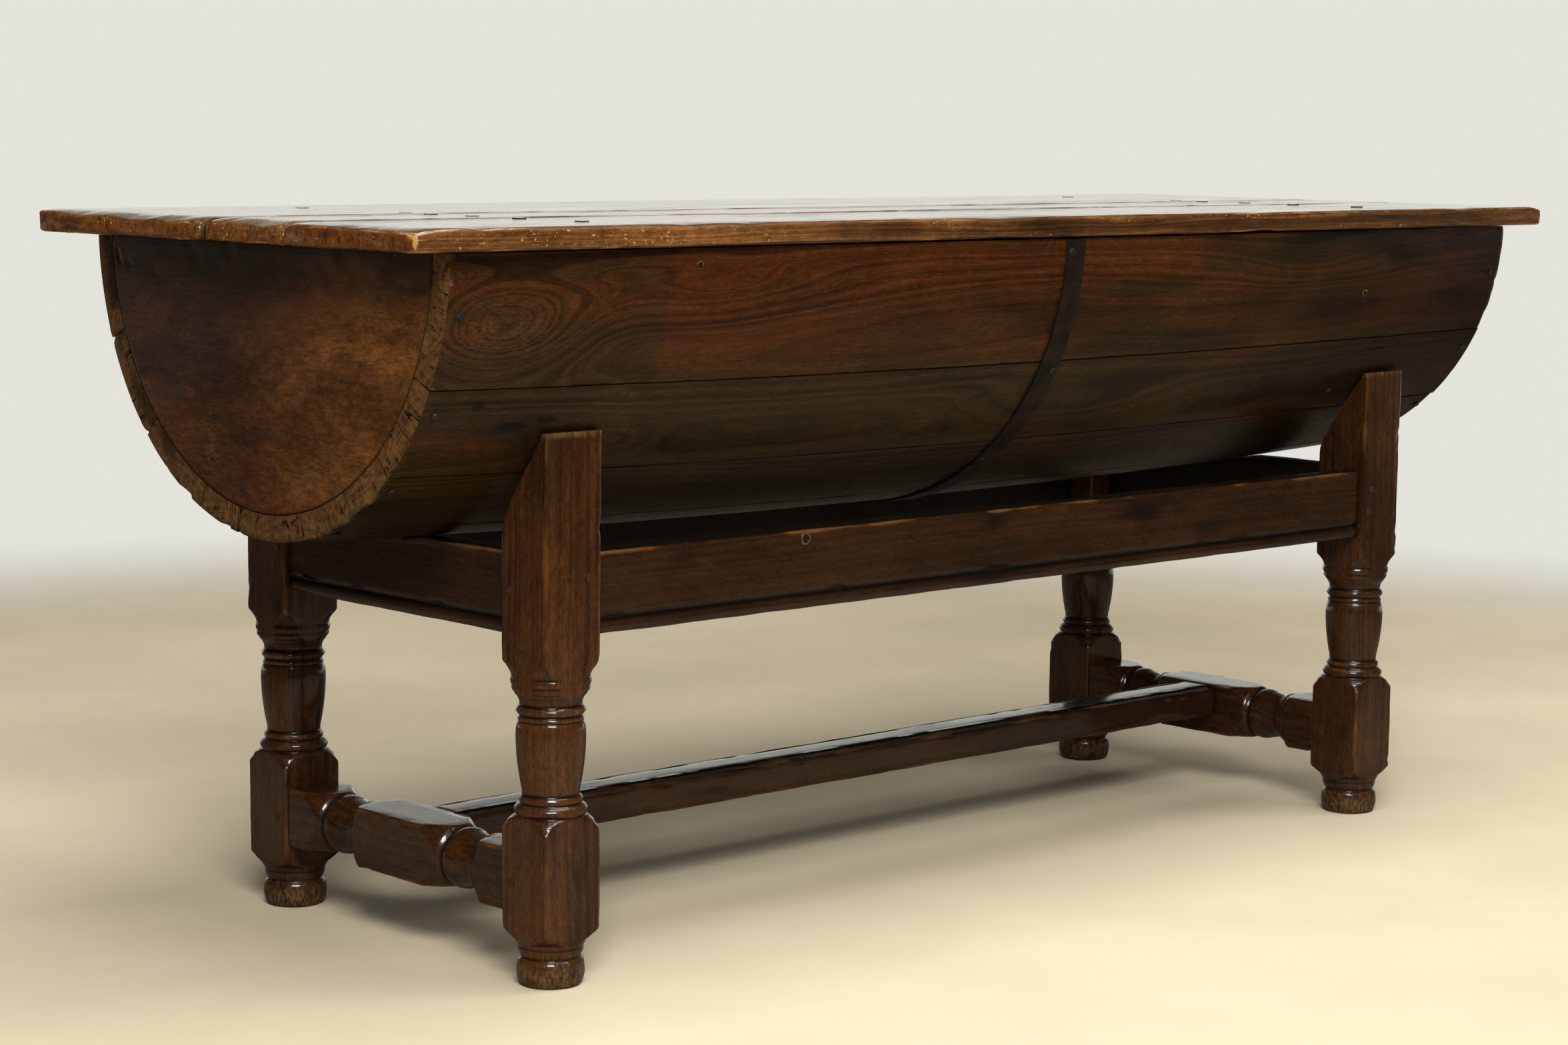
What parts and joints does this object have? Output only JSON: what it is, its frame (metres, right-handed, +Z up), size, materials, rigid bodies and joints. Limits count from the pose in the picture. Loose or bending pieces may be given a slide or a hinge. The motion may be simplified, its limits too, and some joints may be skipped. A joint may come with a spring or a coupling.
{
  "type": "antique dough box",
  "caption": "Half-barrel wooden dough trough with hinged plank lid, resting in a joined stand with turned legs and stretchers.",
  "frame": {"origin": "on the floor under the middle of the lid", "axes": "+X along the length to the right, +Y to the back where the hinges are, +Z up"},
  "size_m": [1.726, 0.648, 0.7464],
  "materials": {
    "lid_wood": "old walnut plank, waxed and rubbed, scuffed edges",
    "trough_wood": "dark brown walnut staves, waxed, figured grain",
    "end_wood": "reddish-brown walnut end board, darkened at the top",
    "stand_wood": "dark walnut, polished by handling, paler worn arrises",
    "peg_wood": "dark end grain",
    "iron": "wrought iron, browned and waxed"
  },
  "bodies": {
    "stand": {"leg_front_left": "stand_wood", "leg_front_right": "stand_wood", "leg_back_left": "stand_wood", "leg_back_right": "stand_wood", "rail_front": "stand_wood", "rail_back": "stand_wood", "rail_left": "stand_wood", "rail_right": "stand_wood", "stretcher_left": "stand_wood", "stretcher_right": "stand_wood", "stretcher_long": "stand_wood", "pegs_front_left": "peg_wood", "pegs_front_right": "peg_wood", "pegs_back_left": "peg_wood", "pegs_back_right": "peg_wood"},
    "trough": {"stave_front_upper": "trough_wood", "stave_front_middle": "trough_wood", "stave_front_lower": "trough_wood", "stave_bottom_front": "trough_wood", "stave_bottom_back": "trough_wood", "stave_back_lower": "trough_wood", "stave_back_middle": "trough_wood", "stave_back_upper": "trough_wood", "trough_end_left": "end_wood", "trough_end_right": "end_wood", "end_nails_left": "iron", "end_nails_right": "iron", "iron_band": "iron", "band_nails": "iron", "hinge_trough_leaf_left": "iron", "hinge_trough_leaf_right": "iron", "hinge_pin_left": "iron", "hinge_pin_right": "iron", "hinge_nails_trough": "iron"},
    "lid": {"lid_board_front": "lid_wood", "lid_board_middle": "lid_wood", "lid_board_strip": "lid_wood", "lid_board_back": "lid_wood", "lid_batten_left": "lid_wood", "lid_batten_right": "lid_wood", "lid_nails": "iron", "hinge_lid_leaf_left": "iron", "hinge_lid_leaf_right": "iron", "hinge_nails_lid": "iron"}
  },
  "joints": [
    {"name": "trough_lift", "type": "slide", "parent": "stand", "child": "trough", "axis": [0, 0, 1], "range_m": [0, 0.15]},
    {"name": "lid_hinge", "type": "hinge", "parent": "trough", "child": "lid", "pos_m": [0.004, 0.319, 0.7222], "axis": [-1, 0, 0], "range_deg": [0, 95]}
  ]
}
